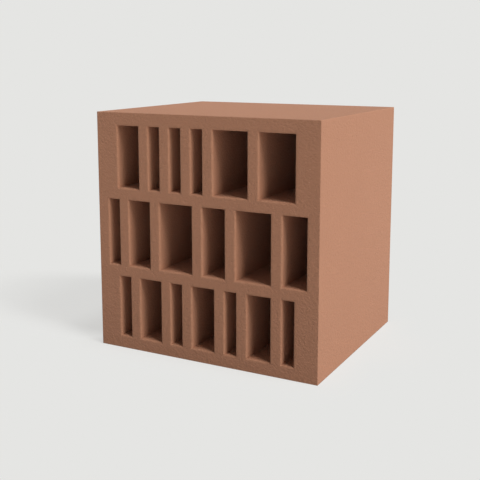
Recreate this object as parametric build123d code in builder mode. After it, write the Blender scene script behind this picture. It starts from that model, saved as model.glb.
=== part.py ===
"""Hollow clay block: one extruded, wire-cut and fired piece with three rows of through cells.

Frame: the block stands on its bottom shell as it is laid, with the cells level. The origin is on
the ground under the middle of the block, +Z is up, +X runs to the right across the perforated
face, and that face looks along -Y. All lengths are in millimetres.
"""

import os

from build123d import *

# Length of the column cut from the clay, front to back
DEPTH = 171.0

# Cells: widths of the three kinds, and heights of the rows that they stand in
NARROW_CELL = 9.8
MEDIUM_CELL = 19.8
WIDE_CELL = 29.8
OUTER_ROW_HEIGHT = 51.4
MIDDLE_ROW_HEIGHT = 55.4

# Clay around the cells
WEB = 10.1  # upright wall between two cells of a row
SHELF = 10.1  # level wall between two rows
SIDE_SHELL = 10.35  # outer wall beside the longest row
CAP_SHELL = 10.8  # outer wall over the top row and under the bottom row

# Softened edges
MOUTH_RADIUS = 1.8  # around each mouth, on both cut faces
ARRIS_RADIUS = 0.3  # the twelve outer edges

# The cells of each row from left to right, with the rows from the bottom to the top
BOTTOM_ROW = (
    NARROW_CELL,
    MEDIUM_CELL,
    NARROW_CELL,
    MEDIUM_CELL,
    NARROW_CELL,
    MEDIUM_CELL,
    NARROW_CELL,
)
MIDDLE_ROW = (
    NARROW_CELL,
    MEDIUM_CELL,
    WIDE_CELL,
    MEDIUM_CELL,
    WIDE_CELL,
    MEDIUM_CELL,
)
TOP_ROW = (
    MEDIUM_CELL,
    NARROW_CELL,
    NARROW_CELL,
    NARROW_CELL,
    WIDE_CELL,
    WIDE_CELL,
)
ROWS = (
    (BOTTOM_ROW, OUTER_ROW_HEIGHT),
    (MIDDLE_ROW, MIDDLE_ROW_HEIGHT),
    (TOP_ROW, OUTER_ROW_HEIGHT),
)


def row_length(cells):
    """Length of a row from its first cell to its last, with the webs between them."""
    return sum(cells) + WEB * (len(cells) - 1)


def cell_frames():
    """Yields (centre x, centre z, width, height) of every cell; each row is centred on the face."""
    floor = CAP_SHELL
    for cells, height in ROWS:
        left = -row_length(cells) / 2
        for width in cells:
            yield left + width / 2, floor + height / 2, width, height
            left += width + WEB
        floor += height + SHELF


# The longest row and its shells make the width, and the rows, shelves and shells the height
WIDTH = max(row_length(cells) for cells, _ in ROWS) + 2 * SIDE_SHELL
HEIGHT = sum(height for _, height in ROWS) + SHELF * (len(ROWS) - 1) + 2 * CAP_SHELL

front_plane = Plane.XZ.offset(DEPTH / 2)

with BuildPart() as brick:
    # The solid column of clay, with its outer edges softened
    with BuildSketch(front_plane):
        with Locations((0, HEIGHT / 2)):
            Rectangle(WIDTH, HEIGHT)
    extrude(amount=-DEPTH)
    fillet(brick.edges(), radius=ARRIS_RADIUS)

    # The cells, straight through from the front cut to the back cut
    with BuildSketch(front_plane):
        for x, z, width, height in cell_frames():
            with Locations((x, z)):
                Rectangle(width, height)
    extrude(amount=-DEPTH, mode=Mode.SUBTRACT)

    # Each mouth is rounded over, on the front and on the back
    cut_faces = brick.faces().filter_by(GeomType.PLANE).group_by(Axis.Y)
    mouths = [wire for face in (cut_faces[0][0], cut_faces[-1][0]) for wire in face.inner_wires()]
    fillet([edge for wire in mouths for edge in wire.edges()], radius=MOUTH_RADIUS)

brick.part.label = "brick"

os.makedirs("parts", exist_ok=True)
export_step(brick.part, "parts/brick.step")
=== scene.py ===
"""A hollow fired-clay brick standing on a pale studio floor."""

import math

import bpy
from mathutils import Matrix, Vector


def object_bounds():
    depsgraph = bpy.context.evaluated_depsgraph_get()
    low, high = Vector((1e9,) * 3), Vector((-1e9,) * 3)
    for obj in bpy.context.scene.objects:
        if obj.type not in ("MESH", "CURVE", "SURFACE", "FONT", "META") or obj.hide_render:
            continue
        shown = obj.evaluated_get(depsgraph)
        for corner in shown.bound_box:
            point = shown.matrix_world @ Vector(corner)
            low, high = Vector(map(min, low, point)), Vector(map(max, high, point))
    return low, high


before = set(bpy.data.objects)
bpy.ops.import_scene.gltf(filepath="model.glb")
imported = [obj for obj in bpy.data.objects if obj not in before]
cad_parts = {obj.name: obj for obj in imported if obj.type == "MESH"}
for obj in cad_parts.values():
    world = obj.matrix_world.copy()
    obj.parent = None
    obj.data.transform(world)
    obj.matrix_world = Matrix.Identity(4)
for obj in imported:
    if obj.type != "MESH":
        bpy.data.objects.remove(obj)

CAD_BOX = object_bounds()

# Camera: its place in metres, its turns in degrees, and its lens in pixels of the photograph's frame
IMAGE_PX = 480
FOCAL_PX = 822.5
PRINCIPAL_PX = (241.2, 183.9)  # right of and below the top left corner
CAMERA_PLACE = (0.3234, -0.6327, 0.2463)
CAMERA_YAW = 27.79  # to the left
CAMERA_PITCH = 8.92  # down
SENSOR_MM = 36

# Lamps, far away: degrees round from the front to the right, degrees up, degrees across, strength
LAMPS = {
    "high": (85.9, 75.6, 11.5, 1.183),
    "middle": (75.6, 48.4, 19.8, 1.542),
    "low": (82.0, 25.8, 43.4, 1.111),
}
SKY_AT_HORIZON = 0.274
SKY_OVERHEAD = 0.038

# Studio: the colour of the backdrop and the open floor, and sizes in metres and shares of the rest
BACKGROUND = (229, 229, 227)
FLOOR_HALF = 30.0  # from its middle to its edge, which lies close to the horizon
SHADOW_SHARE = 0.242  # how much of the shadow the pale floor shows, at most
SHADOW_CENTRE = (-0.106, 0.016, 0.0)  # of the oval on the left in which it shows it
SHADOW_REACH = (0.279, 0.106, 1.0)  # from there to the oval's rim, along X, Y and Z
SHADOW_FADES = 0.7  # of the way to the rim, where it starts to fade
FOOT_REACH = 0.03  # how far from the brick it shows some on every side
PAINTED_SHADE_BOUNCE_NEAR = 0.56  # how much of its light the floor sends back to the brick from beside it, kept low there as painted shade that dims the brick's lower faces
BOUNCE_FAR = 0.97  # and from farther off
BOUNCE_RISES = 0.10  # how far from under the brick's middle it starts to grow
BOUNCE_RISEN = 0.45  # and has grown fully

# Noise: how many finer layers a soft and a gritty one have, and where nearly all of its levels lie
SOFT = 2.0
GRITTY = 5.0
NOISE_LOW = 0.3
NOISE_HIGH = 0.7

# How squarely a surface looks along an axis: from where it counts as a side, and as wholly one
SLANTED = 0.5
SQUARE = 0.9

# Fired clay: colours, sizes in metres, and shares
CLAY = (166, 114, 84)
CLAY_ROUGHNESS = 0.94
ROUGHNESS_SPREAD = 0.03
CLAY_GLOSS = 0.88  # the shader's Specular IOR Level
GRAIN_SIZE = 0.0016  # sand in the clay
GRAIN_HEIGHT = 0.00097  # where the wire cut through it
SIDE_GRAIN_SHARE = 0.52  # of that height on the upright sides and walls, which the die smoothed
LEVEL_GRAIN_SHARE = 0.85  # and on the top, the bottom and the shelves
DRAG_WIDTH = 0.0012  # lines that the die drags along the column
DRAG_LENGTH = 0.06
DRAG_HEIGHT = 0.00002
PIT_SPACING = 0.012
PIT_RADIUS = 0.0005
PIT_DEPTH = 0.0003
ARRIS_REACH = 0.0009  # how far at most the outer edges are crumbled into the faces beside them
ARRIS_LEAST = 0.00018  # and how far at least
ARRIS_PATCH = 0.002  # size of the patches between which that changes
ARRIS_LOSS = 0.0003  # how deep they are crumbled
FLARE_REACH = 0.022  # how far from its mouth a cell's walls start to open
FLARE_HEIGHT = 0.0024  # and how far they have moved outwards at the mouth
SKIN = 0.005  # less than any shell: only cells and cut faces lie farther in from the four sides
SPECKLE_SIZE = 0.0005
SPECKLE_SHARE = 0.10  # of the colour, from its darkest to its palest grain
CLOUD_SIZE = 0.030
CLOUD_SHARE = 0.02  # of the colour, from the darkest cloud to the palest
FLECK_SPACING = 0.009
FLECK_RADIUS = 0.0005
DARK_FLECK = (112, 66, 47)
PALE_FLECK = (196, 158, 128)
RUBBED = (186, 138, 108)  # arrises and mouths, where they are worn
RUBBED_SHARE = 0.3
RUBBED_PATCH = 0.004
PATCH_LOW = 0.4  # noise levels between which a patch goes from whole to rubbed
PATCH_HIGH = 0.6
ROUND_FROM = 0.98  # a surface that looks less squarely along every axis than this is a rounded edge
ROUND_FULLY = 0.75


def linear(colour):
    """Linear colour of an sRGB one written from 0 to 255, by the formula of the sRGB standard."""
    shares = (value / 255 for value in colour)
    return tuple(s / 12.92 if s <= 0.04045 else ((s + 0.055) / 1.055) ** 2.4 for s in shares)


def node(tree, kind, inputs=None, **settings):
    """New node of a tree; each input takes a value or another node's output."""
    made = tree.nodes.new("ShaderNode" + kind)
    for name, value in settings.items():
        setattr(made, name, value)
    for name, value in (inputs or {}).items():
        if isinstance(value, bpy.types.NodeSocket):
            tree.links.new(value, made.inputs[name])
        else:
            made.inputs[name].default_value = value
    return made


def empty_tree(owner):
    """Node tree of a new material or world, with nothing in it but the output."""
    owner.use_nodes = True
    tree = owner.node_tree
    tree.nodes.clear()
    kind = "ShaderNodeOutputWorld" if isinstance(owner, bpy.types.World) else "ShaderNodeOutputMaterial"
    return tree, tree.nodes.new(kind)


def maths(tree, operation, first, second=0.0):
    return node(tree, "Math", {0: first, 1: second}, operation=operation).outputs[0]


def squared(tree, value):
    return maths(tree, "POWER", value, 2.0)


def added(tree, *values):
    total = values[0]
    for value in values[1:]:
        total = maths(tree, "ADD", total, value)
    return total


def ranged(tree, value, low, high, to_low=0.0, to_high=1.0):
    """Value carried from the range low to high into another one, and held inside it."""
    limits = {"From Min": low, "From Max": high, "To Min": to_low, "To Max": to_high}
    return node(tree, "MapRange", {"Value": value, **limits}).outputs[0]


def seen_directly(tree):
    """1 for the rays that show a surface to the eye, straight or through gloss or glass, else 0."""
    path = node(tree, "LightPath")
    either = maths(tree, "MAXIMUM", path.outputs["Is Camera Ray"], path.outputs["Is Glossy Ray"])
    return maths(tree, "MAXIMUM", either, path.outputs["Is Transmission Ray"])


def mixed(tree, share, first, second):
    """First shader where the share is 0, second where it is 1."""
    return node(tree, "MixShader", {0: share, 1: first.outputs[0], 2: second.outputs[0]})


def camera():
    data = bpy.data.cameras.new("camera")
    data.sensor_width = SENSOR_MM
    data.lens = SENSOR_MM * FOCAL_PX / IMAGE_PX
    data.shift_x = (IMAGE_PX / 2 - PRINCIPAL_PX[0]) / IMAGE_PX
    data.shift_y = (PRINCIPAL_PX[1] - IMAGE_PX / 2) / IMAGE_PX
    obj = bpy.data.objects.new("camera", data)
    obj.location = CAMERA_PLACE
    obj.rotation_euler = (math.radians(90 - CAMERA_PITCH), 0, math.radians(CAMERA_YAW))
    bpy.context.scene.collection.objects.link(obj)
    bpy.context.scene.camera = obj


def lamps():
    for name, (azimuth, elevation, across, strength) in LAMPS.items():
        sun = bpy.data.lights.new(name, "SUN")
        sun.energy = strength
        sun.angle = math.radians(across)
        obj = bpy.data.objects.new(name, sun)
        obj.rotation_euler = (math.radians(90 - elevation), 0, math.radians(azimuth))
        bpy.context.scene.collection.objects.link(obj)


def sky():
    """Soft light that fades from the horizon to overhead, behind a flat pale backdrop."""
    world = bpy.data.worlds.new("studio")
    tree, output = empty_tree(world)
    direction = node(tree, "TexCoord").outputs["Generated"]
    height = node(tree, "SeparateXYZ", {0: direction}).outputs["Z"]
    level = ranged(tree, height, 0.0, 1.0, SKY_AT_HORIZON, SKY_OVERHEAD)
    light = node(tree, "Background", {"Color": (1, 1, 1, 1), "Strength": level})
    backdrop = node(tree, "Background", {"Color": (*linear(BACKGROUND), 1)})
    shown = mixed(tree, seen_directly(tree), light, backdrop)
    tree.links.new(shown.outputs[0], output.inputs["Surface"])
    bpy.context.scene.world = world


def light_on_floor():
    """Light that reaches the open floor, as a share of the light that shows white as white."""
    from_lamps = sum(
        strength * math.sin(math.radians(elevation)) / math.pi
        for _, elevation, _, strength in LAMPS.values()
    )
    # A sky that changes evenly with height lights a level surface as its level two thirds up would
    from_sky = SKY_AT_HORIZON + (SKY_OVERHEAD - SKY_AT_HORIZON) * 2 / 3
    return from_lamps + from_sky


def shadow_share(tree, place):
    """How much of the shadow the floor shows: most near the brick and in an oval to its left."""
    off_centre = node(tree, "VectorMath", {0: place, 1: SHADOW_CENTRE}, operation="SUBTRACT").outputs[0]
    outward = node(tree, "VectorMath", {0: off_centre, 1: SHADOW_REACH}, operation="DIVIDE").outputs[0]
    to_rim = node(tree, "VectorMath", {0: outward}, operation="LENGTH").outputs["Value"]
    in_oval = ranged(tree, to_rim, SHADOW_FADES, 1.0, SHADOW_SHARE, 0.0)
    # The brick stands about the origin, so its far corner gives half its width and half its depth
    foot = (CAD_BOX[1][0], CAD_BOX[1][1], 0.0)
    either_way = node(tree, "VectorMath", {0: place}, operation="ABSOLUTE").outputs[0]
    past = node(tree, "VectorMath", {0: either_way, 1: foot}, operation="SUBTRACT").outputs[0]
    outside = node(tree, "VectorMath", {0: past, 1: (0.0, 0.0, 0.0)}, operation="MAXIMUM").outputs[0]
    from_brick = node(tree, "VectorMath", {0: outside}, operation="LENGTH").outputs["Value"]
    at_foot = ranged(tree, from_brick, 0.0, FOOT_REACH, SHADOW_SHARE, 0.0)
    return maths(tree, "MAXIMUM", in_oval, at_foot)


def floor():
    """Floor that shows the backdrop's colour and some shadow; its colour for the light it sends back is
    darker nearby, as painted shade.
    """
    mesh = bpy.data.meshes.new("floor")
    corners = [(-FLOOR_HALF, -FLOOR_HALF, 0), (FLOOR_HALF, -FLOOR_HALF, 0)]
    corners += [(FLOOR_HALF, FLOOR_HALF, 0), (-FLOOR_HALF, FLOOR_HALF, 0)]
    mesh.from_pydata(corners, [], [(0, 1, 2, 3)])
    obj = bpy.data.objects.new("floor", mesh)
    bpy.context.scene.collection.objects.link(obj)
    material = bpy.data.materials.new("floor")
    # Only rays that show the floor see it glow, so it isn't sampled as a lamp
    material.cycles.emission_sampling = "NONE"
    tree, output = empty_tree(material)
    backdrop = node(tree, "Emission", {"Color": (*linear(BACKGROUND), 1)})
    lit = (value / light_on_floor() for value in linear(BACKGROUND))
    shadowed = node(tree, "BsdfDiffuse", {"Color": (*lit, 1)})
    place = node(tree, "TexCoord").outputs["Object"]
    from_middle = node(tree, "VectorMath", {0: place}, operation="LENGTH").outputs["Value"]
    shown = mixed(tree, shadow_share(tree, place), backdrop, shadowed)
    # Painted shade: the floor is darker near the brick in the light it sends back, so the brick's lower
    # faces get less
    level = ranged(tree, from_middle, BOUNCE_RISES, BOUNCE_RISEN, PAINTED_SHADE_BOUNCE_NEAR, BOUNCE_FAR)
    bounce = node(tree, "BsdfDiffuse", {"Color": level})
    surface = mixed(tree, seen_directly(tree), bounce, shown)
    tree.links.new(surface.outputs[0], output.inputs["Surface"])
    obj.data.materials.append(material)


def noise(tree, place, size, detail=SOFT):
    """Random level about 0.5, with grains of the given size."""
    return node(tree, "TexNoise", {"Vector": place, "Scale": 1 / size, "Detail": detail}).outputs[0]


def varied(tree, place, size, least, most):
    """Soft random level between two values, with patches of the given size."""
    return ranged(tree, noise(tree, place, size), NOISE_LOW, NOISE_HIGH, least, most)


def spots(tree, place, spacing, radius):
    """1 in the middle of scattered round spots, falling to 0 at their rims."""
    cells = node(tree, "TexVoronoi", {"Vector": place, "Scale": 1 / spacing})
    return ranged(tree, cells.outputs["Distance"], 0.0, radius / spacing, 1.0, 0.0)


def shifted(tree, place, distance):
    """Place moved equally along X, Y and Z, so that a second pattern there falls elsewhere."""
    step = (distance, distance, distance)
    return node(tree, "VectorMath", {0: place, 1: step}, operation="ADD").outputs[0]


def blended(tree, share, first, second):
    """First colour where the share is 0, second where it is 1; a colour may be written or an output."""
    # A Mix node has its two colours at inputs 6 and 7, and the mixed one at output 2
    colours = {
        6: first if isinstance(first, bpy.types.NodeSocket) else (*linear(first), 1),
        7: second if isinstance(second, bpy.types.NodeSocket) else (*linear(second), 1),
    }
    return node(tree, "Mix", {0: share, **colours}, data_type="RGBA").outputs[2]


def facing(tree):
    """How squarely the surface looks along X, Y and Z, each from 0 to 1."""
    normal = node(tree, "TexCoord").outputs["Normal"]
    either_way = node(tree, "VectorMath", {0: normal}, operation="ABSOLUTE").outputs[0]
    return node(tree, "SeparateXYZ", {0: either_way}).outputs


def depths(tree, place):
    """How far inside the brick's box a point is along X, Y and Z."""
    low, high = CAD_BOX
    centre = [(a + b) / 2 for a, b in zip(low, high)]
    half = [(b - a) / 2 for a, b in zip(low, high)]
    off_centre = node(tree, "VectorMath", {0: place, 1: centre}, operation="SUBTRACT").outputs[0]
    either_way = node(tree, "VectorMath", {0: off_centre}, operation="ABSOLUTE").outputs[0]
    inside = node(tree, "VectorMath", {0: half, 1: either_way}, operation="SUBTRACT").outputs[0]
    return node(tree, "SeparateXYZ", {0: inside}).outputs


def flared(tree, place):
    """0 at the mouths and on the outer faces, growing to 1 along the walls of the cells."""
    x, y, z = depths(tree, place)
    on_wall = maths(tree, "GREATER_THAN", maths(tree, "MINIMUM", x, z), SKIN)
    still_open = ranged(tree, y, 0.0, FLARE_REACH, 1.0, 0.0)
    closed = maths(tree, "SUBTRACT", 1.0, squared(tree, still_open))
    return maths(tree, "MULTIPLY", on_wall, closed)


def crumbled(tree, place):
    """1 on the twelve outer edges, falling to 0 a short and uneven way into the faces beside them."""
    x, y, z = depths(tree, place)
    # The middle one of a point's three depths is its distance from the nearest outer edge
    nearer, farther = maths(tree, "MINIMUM", x, y), maths(tree, "MAXIMUM", x, y)
    from_edge = maths(tree, "MAXIMUM", nearer, maths(tree, "MINIMUM", farther, z))
    reach = varied(tree, place, ARRIS_PATCH, ARRIS_LEAST, ARRIS_REACH)
    return ranged(tree, from_edge, 0.0, reach, 1.0, 0.0)


def relief(tree, place, sand, crumbs):
    """Height of the surface: grain, drag lines, pits, opening walls and crumbled outer edges."""
    along_x, along_y, along_z = facing(tree)
    on_sides = ranged(tree, along_x, SLANTED, SQUARE, 0.0, GRAIN_HEIGHT * (SIDE_GRAIN_SHARE - 1))
    on_level = ranged(tree, along_z, SLANTED, SQUARE, 0.0, GRAIN_HEIGHT * (LEVEL_GRAIN_SHARE - 1))
    sand_height = added(tree, on_sides, on_level, GRAIN_HEIGHT)
    stretch = (1, DRAG_WIDTH / DRAG_LENGTH, 1)
    along = node(tree, "VectorMath", {0: place, 1: stretch}, operation="MULTIPLY").outputs[0]
    lines = noise(tree, along, DRAG_WIDTH)
    line_height = ranged(tree, along_y, 1 - SQUARE, SLANTED, DRAG_HEIGHT, 0.0)
    pits = spots(tree, shifted(tree, place, PIT_SPACING / 3), PIT_SPACING, PIT_RADIUS)
    return added(
        tree,
        maths(tree, "MULTIPLY", sand, sand_height),
        maths(tree, "MULTIPLY", lines, line_height),
        maths(tree, "MULTIPLY", pits, -PIT_DEPTH),
        maths(tree, "MULTIPLY", flared(tree, place), FLARE_HEIGHT),
        maths(tree, "MULTIPLY", squared(tree, crumbs), -ARRIS_LOSS),
    )


def clay_colour(tree, place, crumbs):
    """Soft clouds, fine speckle, sparse dark and pale flecks, and paler worn edges."""
    clouds = varied(tree, place, CLOUD_SIZE, -CLOUD_SHARE / 2, CLOUD_SHARE / 2)
    speckle = varied(tree, place, SPECKLE_SIZE, -SPECKLE_SHARE / 2, SPECKLE_SHARE / 2)
    level = added(tree, clouds, speckle, 1.0)
    body = node(tree, "VectorMath", {0: linear(CLAY), 1: level}, operation="MULTIPLY").outputs[0]
    dark = spots(tree, place, FLECK_SPACING, FLECK_RADIUS)
    pale = spots(tree, shifted(tree, place, FLECK_SPACING / 2), FLECK_SPACING, FLECK_RADIUS)
    flecked = blended(tree, pale, blended(tree, dark, body, DARK_FLECK), PALE_FLECK)
    along_x, along_y, along_z = facing(tree)
    squarest = maths(tree, "MAXIMUM", maths(tree, "MAXIMUM", along_x, along_y), along_z)
    rounded = ranged(tree, squarest, ROUND_FULLY, ROUND_FROM, 1.0, 0.0)
    wear = noise(tree, place, RUBBED_PATCH)
    patches = ranged(tree, wear, PATCH_LOW, PATCH_HIGH, 0.0, RUBBED_SHARE)
    worn = maths(tree, "MULTIPLY", maths(tree, "MAXIMUM", rounded, crumbs), patches)
    return blended(tree, worn, flecked, RUBBED)


def fired_clay():
    material = bpy.data.materials.new("fired_clay")
    tree, output = empty_tree(material)
    place = node(tree, "TexCoord").outputs["Object"]
    sand = noise(tree, place, GRAIN_SIZE, GRITTY)
    crumbs = crumbled(tree, place)
    bump = node(tree, "Bump", {"Height": relief(tree, place, sand, crumbs), "Distance": 1.0})
    smoothest = CLAY_ROUGHNESS - ROUGHNESS_SPREAD
    roughest = CLAY_ROUGHNESS + ROUGHNESS_SPREAD
    roughness = ranged(tree, sand, NOISE_LOW, NOISE_HIGH, smoothest, roughest)
    shader = node(
        tree,
        "BsdfPrincipled",
        {
            "Base Color": clay_colour(tree, place, crumbs),
            "Roughness": roughness,
            "Specular IOR Level": CLAY_GLOSS,
            "Normal": bump.outputs[0],
        },
    )
    tree.links.new(shader.outputs[0], output.inputs["Surface"])
    return material


camera()
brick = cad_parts["brick"]
brick.data.materials.clear()
brick.data.materials.append(fired_clay())
floor()
lamps()
sky()
bpy.context.scene.view_settings.view_transform = "Standard"
